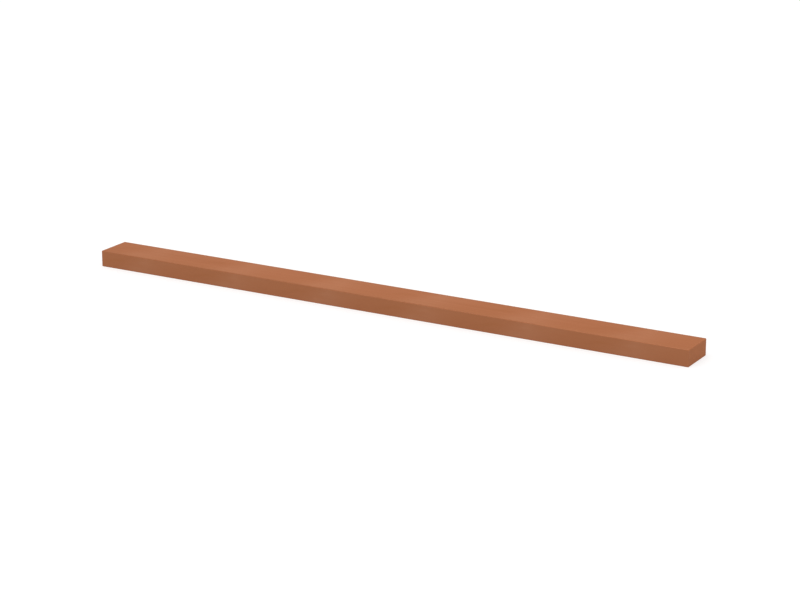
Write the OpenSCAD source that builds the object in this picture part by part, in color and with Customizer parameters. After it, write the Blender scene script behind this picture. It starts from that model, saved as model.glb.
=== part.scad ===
// Flat copper busbar: one plain drawn bar, cut to length and deburred.
// It lies on its broad face. X runs along the bar, Y across it and Z up.
// The origin is the middle of the underside.

/* [Bar] */
// Length of the cut piece
bar_l = 196; // [40:1:4000]
// Width of the broad face
bar_w = 12; // [8:0.5:100]
// Thickness
bar_t = 5; // [3:0.5:20]

/* [Edges] */
// Radius that the drawing die leaves on the four long edges
edge_r = 0.2; // [0.2:0.05:1.2]
// Chamfer that deburring leaves round both sawn ends, always under the edge radius
end_chamfer = 0.1; // [0.05:0.05:0.15]

/* [Hidden] */
$fn = 48;

// Distance from the bar's centre line to the centre of each edge's round
edge_y = bar_w / 2 - edge_r;
edge_z = bar_t / 2 - edge_r;

// Half of the bar's outline along X, from the left end to the right, with both
// ends chamfered. "reach" is how far the outline stands from the centre line.
function half_outline(reach) = [
    [-bar_l / 2, reach - end_chamfer],
    [-bar_l / 2 + end_chamfer, reach],
    [bar_l / 2 - end_chamfer, reach],
    [bar_l / 2, reach - end_chamfer]
];

// The whole outline: the half above the centre line, then its mirror image back.
function outline(reach) =
    let (half = half_outline(reach))
    concat(half, [for (i = [len(half) - 1 : -1 : 0]) [half[i].x, -half[i].y]]);

// The middle of the bar between the edge rounds, up to both broad faces.
module broad_faces() {
    rotate([90, 0, 0])
        linear_extrude(2 * edge_y, center = true)
            polygon(outline(bar_t / 2));
}

// The middle of the bar between the edge rounds, out to both narrow faces.
module narrow_faces() {
    linear_extrude(2 * edge_z, center = true)
        polygon(outline(bar_w / 2));
}

// The round of one long edge, as a rod with a chamfer at both ends.
module edge_round() {
    rotate([0, 90, 0])
        rotate_extrude()
            polygon([
                [0, -bar_l / 2],
                [edge_r - end_chamfer, -bar_l / 2],
                [edge_r, -bar_l / 2 + end_chamfer],
                [edge_r, bar_l / 2 - end_chamfer],
                [edge_r - end_chamfer, bar_l / 2],
                [0, bar_l / 2]
            ]);
}

module copper_bar() {
    color("#b27353")
        translate([0, 0, bar_t / 2]) {
            broad_faces();
            narrow_faces();
            for (side = [-1, 1], level = [-1, 1])
                translate([0, side * edge_y, level * edge_z])
                    edge_round();
        }
}

copper_bar();
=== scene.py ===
# Copper busbar: finish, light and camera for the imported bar.
# Everything is in metres, in the frame of the CAD: X along the bar, Y across it, Z up.
import math

import bmesh
import bpy
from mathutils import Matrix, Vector


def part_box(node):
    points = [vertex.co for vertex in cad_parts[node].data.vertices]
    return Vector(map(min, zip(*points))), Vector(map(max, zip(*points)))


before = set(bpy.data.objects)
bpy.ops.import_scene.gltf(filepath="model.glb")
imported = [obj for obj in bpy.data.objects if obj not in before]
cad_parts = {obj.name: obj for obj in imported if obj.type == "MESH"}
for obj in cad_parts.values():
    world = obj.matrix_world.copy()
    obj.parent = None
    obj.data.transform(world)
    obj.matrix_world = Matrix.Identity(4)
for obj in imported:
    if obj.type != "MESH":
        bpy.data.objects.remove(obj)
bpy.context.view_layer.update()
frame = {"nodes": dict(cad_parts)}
print("frame loaded:", ", ".join(frame["nodes"]))

mm = 0.001


def hexToLinear(code):
    # An sRGB hex colour as the linear colour that a shader's socket takes
    channels = [int(code[i:i + 2], 16) / 255 for i in (1, 3, 5)]
    linear = [c / 12.92 if c <= 0.04045 else ((c + 0.055) / 1.055) ** 2.4 for c in channels]
    return (*linear, 1.0)


def pick(sockets, key):
    # A socket by number or name. Some nodes also hold hidden sockets of the same name.
    if isinstance(key, int):
        return sockets[key]
    return next(s for s in sockets if s.name == key and s.enabled)


def addNode(tree, kind, settings=None, values=None, links=None):
    # One node with its settings, its sockets' own values, and its links as {socket: (node, output)}
    node = tree.nodes.new(kind)
    for name, value in (settings or {}).items():
        setattr(node, name, value)
    for key, value in (values or {}).items():
        pick(node.inputs, key).default_value = value
    for key, (source, output) in (links or {}).items():
        tree.links.new(pick(source.outputs, output), pick(node.inputs, key))
    return node


def newMaterial(name):
    material = bpy.data.materials.new(name)
    material.use_nodes = True
    material.node_tree.nodes.clear()
    return material, material.node_tree


def aim(thing, place, target):
    # Puts a lamp or the camera at a place, looking at the target
    thing.location = place
    thing.rotation_mode = "QUATERNION"
    thing.rotation_quaternion = (Vector(target) - Vector(place)).to_track_quat("-Z", "Y")


def fromBar(azimuth, elevation, distance):
    # A place seen from the bar: azimuth 0 is in front of it, 90 at its right end, in degrees
    turn = math.radians(azimuth)
    rise = math.radians(elevation)
    return distance * Vector((
        math.sin(turn) * math.cos(rise),
        -math.cos(turn) * math.cos(rise),
        math.sin(rise),
    ))


# Camera: the photograph's angle
cameraView = {
    "azimuth": 30.0,
    "elevation": 17.0,
    "distance": 0.68445,                  # m from the target
    "target": (0.00483, 0.0, 0.00323),    # m, a little right of the bar's middle
    "lens": 106.2,                        # mm
    "sensor": 36.0,                       # mm wide
}


def makeCamera(view):
    data = bpy.data.cameras.new("camera")
    data.lens = view["lens"]
    data.sensor_width = view["sensor"]
    camera = bpy.data.objects.new("camera", data)
    bpy.context.collection.objects.link(camera)
    target = Vector(view["target"])
    place = target + fromBar(view["azimuth"], view["elevation"], view["distance"])
    aim(camera, place, target)
    bpy.context.scene.camera = camera
    print("camera made")


# Bar: hard drawn copper, as it comes off the draw bench and the straightening rolls, a little
# browned by the air. Lengths are in millimetres.
barFinish = {
    "copper": "#9C6445",          # browned copper between the bands
    "sheenBand": "#A16C4F",            # paler where the rolls pressed: a painted sheen
    "stain": "#98603F",           # tarnish, in thin clouds and in the rolls' smudges
    "sawn": "#9B6547",            # cut ends, a little greyer
    "burnish": "#9D6547",         # edges that the die and handling keep clean
    "edgeTint": "#F2D0C0",        # copper keeps its warmth at a grazing angle
    "roughness": 0.38,
    "roughnessSpread": 0.06,      # how far it strays either way, in step with the die lines
    "burnishShine": 0.08,         # how much less rough the clean edges are

    # Marks that come once a turn of the rolls: smudges, and bands of painted sheen
    "bandPitch": 32.67,           # one turn
    "bandStart": -2.54,           # where a turn begins along X
    "bandEdges": (6.4, 12.4, 20.0, 31.0),     # from the turn's start: rise, then fall
    "bandSlant": 7.0,             # how much later the rise comes at the far side of a face
    "coreEdges": (17.0, 19.5, 19.5, 23.5),    # the same for the brightest stripe of painted sheen in a band
    "coreShare": 0.32,            # how much of a band's painted sheen is in that stripe
    # Spots: along, across, half length, half width, slant in degrees, strength. The pale spots are
    # painted sheen, the dark ones smudges
    "sheenSpots": [
        (15.8, 2.2, 4.5, 3.5, 0.0, 0.65),
        (18.2, 8.0, 3.0, 2.2, 0.0, 0.4),
        (28.5, 10.0, 5.0, 3.0, 0.0, 0.3),
    ],
    "darkSpots": [
        (8.6, 6.8, 4.5, 2.2, 10.0, 0.7),
        (4.8, 5.0, 5.5, 2.2, 20.0, 0.5),
    ],
    "narrowShare": 0.65,          # the rolls press less on the narrow faces
    "wander": 1.5,                # how far the marks' outlines stray
    "wanderSize": 5.0,

    # Clouds of tarnish
    "stainSize": 22.0,
    "stainEdges": (0.45, 0.75),   # values of the noise where a cloud begins and where it is full
    "stainShare": 0.25,

    # Relief and edges
    "lineGap": 0.25,              # die lines are 0.05 mm apart, drawn coarser so that they show
    "lineLength": 45.0,
    "lineDepth": 0.006,
    "sawGap": 0.5,                # feed marks of a cold saw
    "sawDepth": 0.03,
    "sawSlant": 12.0,             # degrees off upright
    "sawWobble": 1.5,
    "edgeRound": 0.2,             # as in the CAD
    "endDepth": 0.01,             # how thin a slice at each end counts as sawn
}


def placeOnRoll(tree, finish, inMm, fromMiddle, half):
    # A point's place on the roll: how far along one turn, and how far across, with the width of
    # the broad face on every face. Half the sum of Y and Z, as shares of the section, runs from
    # 0 to 1 across each face once its whole number is dropped.
    axes = addNode(tree, "ShaderNodeSeparateXYZ", links={"Vector": inMm})
    along = addNode(tree, "ShaderNodeMath", {"operation": "SUBTRACT"},
                    {1: finish["bandStart"]}, {0: (axes, "X")})
    inTurn = addNode(tree, "ShaderNodeMath", {"operation": "WRAP"},
                     {1: finish["bandPitch"], 2: 0.0}, {0: (along, "Value")})
    halfSum = addNode(tree, "ShaderNodeVectorMath", {"operation": "DOT_PRODUCT"},
                      {1: (0, 0.5 / half.y, 0.5 / half.z)}, {0: fromMiddle})
    share = addNode(tree, "ShaderNodeMath", {"operation": "FRACT"}, links={0: (halfSum, "Value")})
    across = addNode(tree, "ShaderNodeMath", {"operation": "MULTIPLY"},
                     {1: 2 * half.y}, {0: (share, "Value")})
    onRoll = addNode(tree, "ShaderNodeCombineXYZ",
                     links={"X": (inTurn, "Value"), "Y": (across, "Value")})

    # The marks' outlines stray, and in the same way each turn: the noise is read off the roll's
    # own round surface
    rollRadius = finish["bandPitch"] / (2 * math.pi)
    spin = addNode(tree, "ShaderNodeMath", {"operation": "MULTIPLY"},
                   {1: 1 / rollRadius}, {0: (along, "Value")})
    flatRoll = addNode(tree, "ShaderNodeCombineXYZ", values={"X": rollRadius},
                       links={"Z": (across, "Value")})
    rollSkin = addNode(tree, "ShaderNodeVectorRotate", {"rotation_type": "Z_AXIS"},
                       links={"Vector": (flatRoll, "Vector"), "Angle": (spin, "Value")})
    noise = addNode(tree, "ShaderNodeTexNoise",
                    values={"Scale": 1 / finish["wanderSize"], "Detail": 2.0},
                    links={"Vector": (rollSkin, "Vector")})
    wander = Vector((1, 1, 0)) * finish["wander"]
    stray = addNode(tree, "ShaderNodeVectorMath", {"operation": "MULTIPLY_ADD"},
                    {1: 2 * wander, 2: -wander}, {0: (noise, "Color")})
    strayed = addNode(tree, "ShaderNodeVectorMath", {"operation": "ADD"},
                      links={0: (onRoll, "Vector"), 1: (stray, "Vector")})
    return strayed, "Vector"


def addStripe(tree, lead, trail, edges, strength):
    # Rises smoothly between the first two edges and falls between the last two
    rise = addNode(tree, "ShaderNodeMapRange", {"interpolation_type": "SMOOTHSTEP"},
                   {"From Min": edges[0], "From Max": edges[1], "To Max": strength},
                   {"Value": lead})
    fall = addNode(tree, "ShaderNodeMapRange", {"interpolation_type": "SMOOTHSTEP"},
                   {"From Min": edges[2], "From Max": edges[3], "To Min": 1.0, "To Max": 0.0},
                   {"Value": trail})
    stripe = addNode(tree, "ShaderNodeMath", {"operation": "MULTIPLY"},
                     links={0: (rise, "Result"), 1: (fall, "Result")})
    return stripe, "Value"


def addSpots(tree, spots, place, total):
    # Soft ovals, added to the total where there is one
    for along, across, halfLength, halfWidth, slant, strength in spots:
        oval = addNode(tree, "ShaderNodeMapping", {"vector_type": "TEXTURE"},
                       {"Location": (along, across, 0), "Rotation": (0, 0, math.radians(slant)),
                        "Scale": (halfLength, halfWidth, 1)},
                       {"Vector": place})
        distance = addNode(tree, "ShaderNodeVectorMath", {"operation": "LENGTH"},
                           links={0: (oval, "Vector")})
        soft = addNode(tree, "ShaderNodeMapRange", {"interpolation_type": "SMOOTHSTEP"},
                       {"From Max": 1.0, "To Min": strength, "To Max": 0.0},
                       {"Value": (distance, "Value")})
        links = {1: (soft, "Result")}
        if total:
            links[0] = total
        total = addNode(tree, "ShaderNodeMath", {"operation": "ADD"}, {0: 0.0}, links), "Value"
    return total


def rollSmudgesAndSheen(tree, finish, place, faceWidth):
    # A band of painted sheen, with its core and spots, and dark smudges beside it
    axes = addNode(tree, "ShaderNodeSeparateXYZ", links={"Vector": place})
    straight = (axes, "X")
    slanted = addNode(tree, "ShaderNodeMath", {"operation": "MULTIPLY_ADD"},
                      {1: -finish["bandSlant"] / faceWidth}, {0: (axes, "Y"), 2: straight})
    # The band's paleness is a painted sheen, once a turn of the rolls
    wide = addStripe(tree, (slanted, "Value"), straight, finish["bandEdges"], 1 - finish["coreShare"])
    core = addStripe(tree, straight, straight, finish["coreEdges"], finish["coreShare"])
    sheenBand = addNode(tree, "ShaderNodeMath", {"operation": "ADD"}, links={0: wide, 1: core})
    paleSheen = addSpots(tree, finish["sheenSpots"], place, (sheenBand, "Value"))
    dark = addSpots(tree, finish["darkSpots"], place, None)
    return paleSheen, dark


def findEdges(tree, finish, fromMiddle, half):
    # Three masks: the long edges with the arrises, the narrow faces, and the flat of both ends
    reach = addNode(tree, "ShaderNodeVectorMath", {"operation": "ABSOLUTE"}, links={0: fromMiddle})
    roundSize = Vector((1.0, 1.0, 1.0)) * finish["edgeRound"]
    nearFace = addNode(tree, "ShaderNodeMapRange",
                       {"data_type": "FLOAT_VECTOR", "interpolation_type": "SMOOTHSTEP"},
                       {"From Min": half - 1.5 * roundSize, "From Max": half - 0.5 * roundSize},
                       {"Vector": (reach, "Vector")})
    nearAxes = addNode(tree, "ShaderNodeSeparateXYZ", links={"Vector": (nearFace, "Vector")})
    # An edge is where a point is near two of the box's faces at once
    faces = addNode(tree, "ShaderNodeVectorMath", {"operation": "DOT_PRODUCT"},
                    {1: (1.0, 1.0, 1.0)}, {0: (nearFace, "Vector")})
    edge = addNode(tree, "ShaderNodeMath", {"operation": "SUBTRACT", "use_clamp": True},
                   {1: 1.0}, {0: (faces, "Value")})
    reachAxes = addNode(tree, "ShaderNodeSeparateXYZ", links={"Vector": (reach, "Vector")})
    onEnd = addNode(tree, "ShaderNodeMath", {"operation": "GREATER_THAN"},
                    {1: half.x - finish["endDepth"]}, {0: (reachAxes, "X")})
    return (edge, "Value"), (nearAxes, "Y"), (onEnd, "Value")


def dieLines(tree, finish, inMm):
    # Noise drawn out along the bar
    stretched = addNode(tree, "ShaderNodeMapping",
                        values={"Scale": (1 / finish["lineLength"], 1 / finish["lineGap"],
                                          1 / finish["lineGap"])},
                        links={"Vector": inMm})
    lines = addNode(tree, "ShaderNodeTexNoise", values={"Scale": 1.0, "Detail": 2.0},
                    links={"Vector": (stretched, "Vector")})
    return lines, "Fac"


def sawLines(tree, finish, inMm):
    waveLength = 0.314            # of a wave texture whose scale is 1
    stroke = addNode(tree, "ShaderNodeMapping",
                     values={"Rotation": (math.radians(finish["sawSlant"]), 0, 0)},
                     links={"Vector": inMm})
    lines = addNode(tree, "ShaderNodeTexWave", {"bands_direction": "Y"},
                    {"Scale": waveLength / finish["sawGap"], "Distortion": finish["sawWobble"],
                     "Detail": 2.0, "Detail Scale": 0.5},
                    {"Vector": (stroke, "Vector")})
    return lines, "Fac"


def drawnCopper(finish, low, high):
    # Drawn copper, a true metal. The die leaves a satin face with fine lines along the bar, and
    # the rolls leave faint bands across it, painted paler as a painted sheen, so the eye sees a
    # warm even tone and no clear mirror.
    material, tree = newMaterial("drawnCopper")
    middle = (low + high) / 2 / mm
    half = (high - low) / 2 / mm
    coords = addNode(tree, "ShaderNodeTexCoord")
    scaled = addNode(tree, "ShaderNodeMapping", values={"Scale": (1 / mm, 1 / mm, 1 / mm)},
                     links={"Vector": (coords, "Object")})
    inMm = (scaled, "Vector")
    centred = addNode(tree, "ShaderNodeVectorMath", {"operation": "SUBTRACT"}, {1: middle}, {0: inMm})
    fromMiddle = (centred, "Vector")

    place = placeOnRoll(tree, finish, inMm, fromMiddle, half)
    # Pale marks are painted sheen; dark ones are smudges
    paleSheen, dark = rollSmudgesAndSheen(tree, finish, place, 2 * half.y)
    edge, onNarrow, onEnd = findEdges(tree, finish, fromMiddle, half)
    press = addNode(tree, "ShaderNodeMath", {"operation": "MULTIPLY_ADD"},
                    {1: finish["narrowShare"] - 1, 2: 1.0}, {0: onNarrow})
    # Strength of the bands' painted sheen, weaker on the narrow faces
    sheenBand = addNode(tree, "ShaderNodeMath", {"operation": "MULTIPLY"},
                   links={0: paleSheen, 1: (press, "Value")})

    cloud = addNode(tree, "ShaderNodeTexNoise",
                    values={"Scale": 1 / finish["stainSize"], "Detail": 4.0},
                    links={"Vector": inMm})
    stain = addNode(tree, "ShaderNodeMapRange", {"interpolation_type": "SMOOTHSTEP"},
                    {"From Min": finish["stainEdges"][0], "From Max": finish["stainEdges"][1],
                     "To Max": finish["stainShare"]},
                    {"Value": (cloud, "Fac")})
    tarnish = addNode(tree, "ShaderNodeMath", {"operation": "MULTIPLY_ADD"},
                      links={0: dark, 1: (press, "Value"), 2: (stain, "Result")})

    # Colour: each finish covers the ones before it by its share
    # The band colour is a painted sheen over the browned copper
    colour = addNode(tree, "ShaderNodeMix", {"data_type": "RGBA"},
                     {"A": hexToLinear(finish["copper"]), "B": hexToLinear(finish["sheenBand"])},
                     {"Factor": (sheenBand, "Value")})
    for name, share in (("stain", (tarnish, "Value")), ("sawn", onEnd), ("burnish", edge)):
        colour = addNode(tree, "ShaderNodeMix", {"data_type": "RGBA"},
                         {"B": hexToLinear(finish[name])},
                         {"Factor": share, "A": (colour, "Result")})

    # Relief, in millimetres: saw lines on the ends and die lines elsewhere
    lines = dieLines(tree, finish, inMm)
    lineHeight = addNode(tree, "ShaderNodeMath", {"operation": "MULTIPLY"},
                         {1: finish["lineDepth"]}, {0: lines})
    sawHeight = addNode(tree, "ShaderNodeMath", {"operation": "MULTIPLY"},
                        {1: finish["sawDepth"]}, {0: sawLines(tree, finish, inMm)})
    height = addNode(tree, "ShaderNodeMix", {"data_type": "FLOAT"},
                     links={"Factor": onEnd, "A": (lineHeight, "Value"), "B": (sawHeight, "Value")})
    relief = addNode(tree, "ShaderNodeBump", values={"Distance": mm},
                     links={"Height": (height, "Result")})

    # Roughness follows the die lines, whose noise keeps between about 0.25 and 0.75, and the
    # clean edges are smoother
    satin = addNode(tree, "ShaderNodeMapRange",
                    values={"From Min": 0.25, "From Max": 0.75,
                            "To Min": finish["roughness"] - finish["roughnessSpread"],
                            "To Max": finish["roughness"] + finish["roughnessSpread"]},
                    links={"Value": lines})
    roughness = addNode(tree, "ShaderNodeMath", {"operation": "MULTIPLY_ADD"},
                        {1: -finish["burnishShine"]}, {0: edge, 2: (satin, "Result")})

    shader = addNode(tree, "ShaderNodeBsdfPrincipled",
                     values={"Metallic": 1.0, "Specular Tint": hexToLinear(finish["edgeTint"])},
                     links={"Base Color": (colour, "Result"), "Roughness": (roughness, "Value"),
                            "Normal": (relief, "Normal")})
    addNode(tree, "ShaderNodeOutputMaterial", links={"Surface": (shader, "BSDF")})
    return material


def finishBar(finish):
    # The CAD node already has the right shape, down to the edge rounds, so it stays as it is
    bar = frame["nodes"]["copper_bar"]
    low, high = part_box("copper_bar")
    material = drawnCopper(finish, Vector(low), Vector(high))
    for part in bar.material_slots:
        part.material = material
    print("bar finished:", len(bar.data.polygons), "faces")


# Studio: an even pale room with a soft lamp overhead and four weaker panels round the sides,
# like a light tent
studio = {
    "floor": "#B4B4B4",           # matt paper
    "floorLift": 0.62,            # added where the floor is seen or mirrored, to make it white
    "floorSize": 12.0,            # m
    "roomLight": 0.62,            # strength of the world as light; it is seen at 1
    # Softboxes: place round the bar in degrees and m, size in m, power in W
    "overhead": {"azimuth": 0.0, "elevation": 60.0, "distance": 2.2,
                 "width": 2.0, "height": 2.0, "power": 15.0},
    "panel": {"azimuth": -179.2, "elevation": 28.0, "distance": 2.2,
              "width": 3.4, "height": 1.5, "power": 5.1},
    "panels": 4,
}


def seenRays(tree):
    # 1 for a ray that shows the surface: from the camera, or by way of metal or glass
    path = addNode(tree, "ShaderNodeLightPath")
    shown = addNode(tree, "ShaderNodeMath", {"operation": "MAXIMUM"},
                    links={0: (path, "Is Camera Ray"), 1: (path, "Is Glossy Ray")})
    return addNode(tree, "ShaderNodeMath", {"operation": "MAXIMUM"},
                   links={0: (shown, "Value"), 1: (path, "Is Transmission Ray")})


def makeFloor(look):
    material, tree = newMaterial("mattPaper")
    seen = seenRays(tree)
    lift = addNode(tree, "ShaderNodeMath", {"operation": "MULTIPLY"},
                   {1: look["floorLift"]}, {0: (seen, "Value")})
    glow = addNode(tree, "ShaderNodeEmission", links={"Strength": (lift, "Value")})
    paper = addNode(tree, "ShaderNodeBsdfDiffuse", values={"Color": hexToLinear(look["floor"])})
    both = addNode(tree, "ShaderNodeAddShader", links={0: (paper, "BSDF"), 1: (glow, "Emission")})
    addNode(tree, "ShaderNodeOutputMaterial", links={"Surface": (both, "Shader")})

    shape = bmesh.new()
    bmesh.ops.create_grid(shape, x_segments=1, y_segments=1, size=look["floorSize"] / 2)
    mesh = bpy.data.meshes.new("floor")
    shape.to_mesh(mesh)
    shape.free()
    mesh.materials.append(material)
    floor = bpy.data.objects.new("floor", mesh)
    bpy.context.collection.objects.link(floor)
    print("floor made")


def addSoftbox(name, look, turn):
    lamp = bpy.data.lights.new(name, "AREA")
    lamp.shape = "RECTANGLE"
    lamp.size = look["width"]
    lamp.size_y = look["height"]
    lamp.energy = look["power"]
    softbox = bpy.data.objects.new(name, lamp)
    bpy.context.collection.objects.link(softbox)
    aim(softbox, fromBar(look["azimuth"] + turn, look["elevation"], look["distance"]), (0, 0, 0))


def lightRoom(look):
    world = bpy.data.worlds.new("paleRoom")
    world.use_nodes = True
    tree = world.node_tree
    tree.nodes.clear()
    seen = seenRays(tree)
    strength = addNode(tree, "ShaderNodeMath", {"operation": "MULTIPLY_ADD"},
                       {1: 1 - look["roomLight"], 2: look["roomLight"]}, {0: (seen, "Value")})
    room = addNode(tree, "ShaderNodeBackground", values={"Color": (1.0, 1.0, 1.0, 1.0)},
                   links={"Strength": (strength, "Value")})
    addNode(tree, "ShaderNodeOutputWorld", links={"Surface": (room, "Background")})
    bpy.context.scene.world = world

    addSoftbox("overhead", look["overhead"], 0)
    for i in range(look["panels"]):
        addSoftbox("panel%d" % i, look["panel"], 360 * i / look["panels"])
    bpy.context.scene.view_settings.view_transform = "Standard"
    print("light set")


makeCamera(cameraView)
finishBar(barFinish)
makeFloor(studio)
lightRoom(studio)
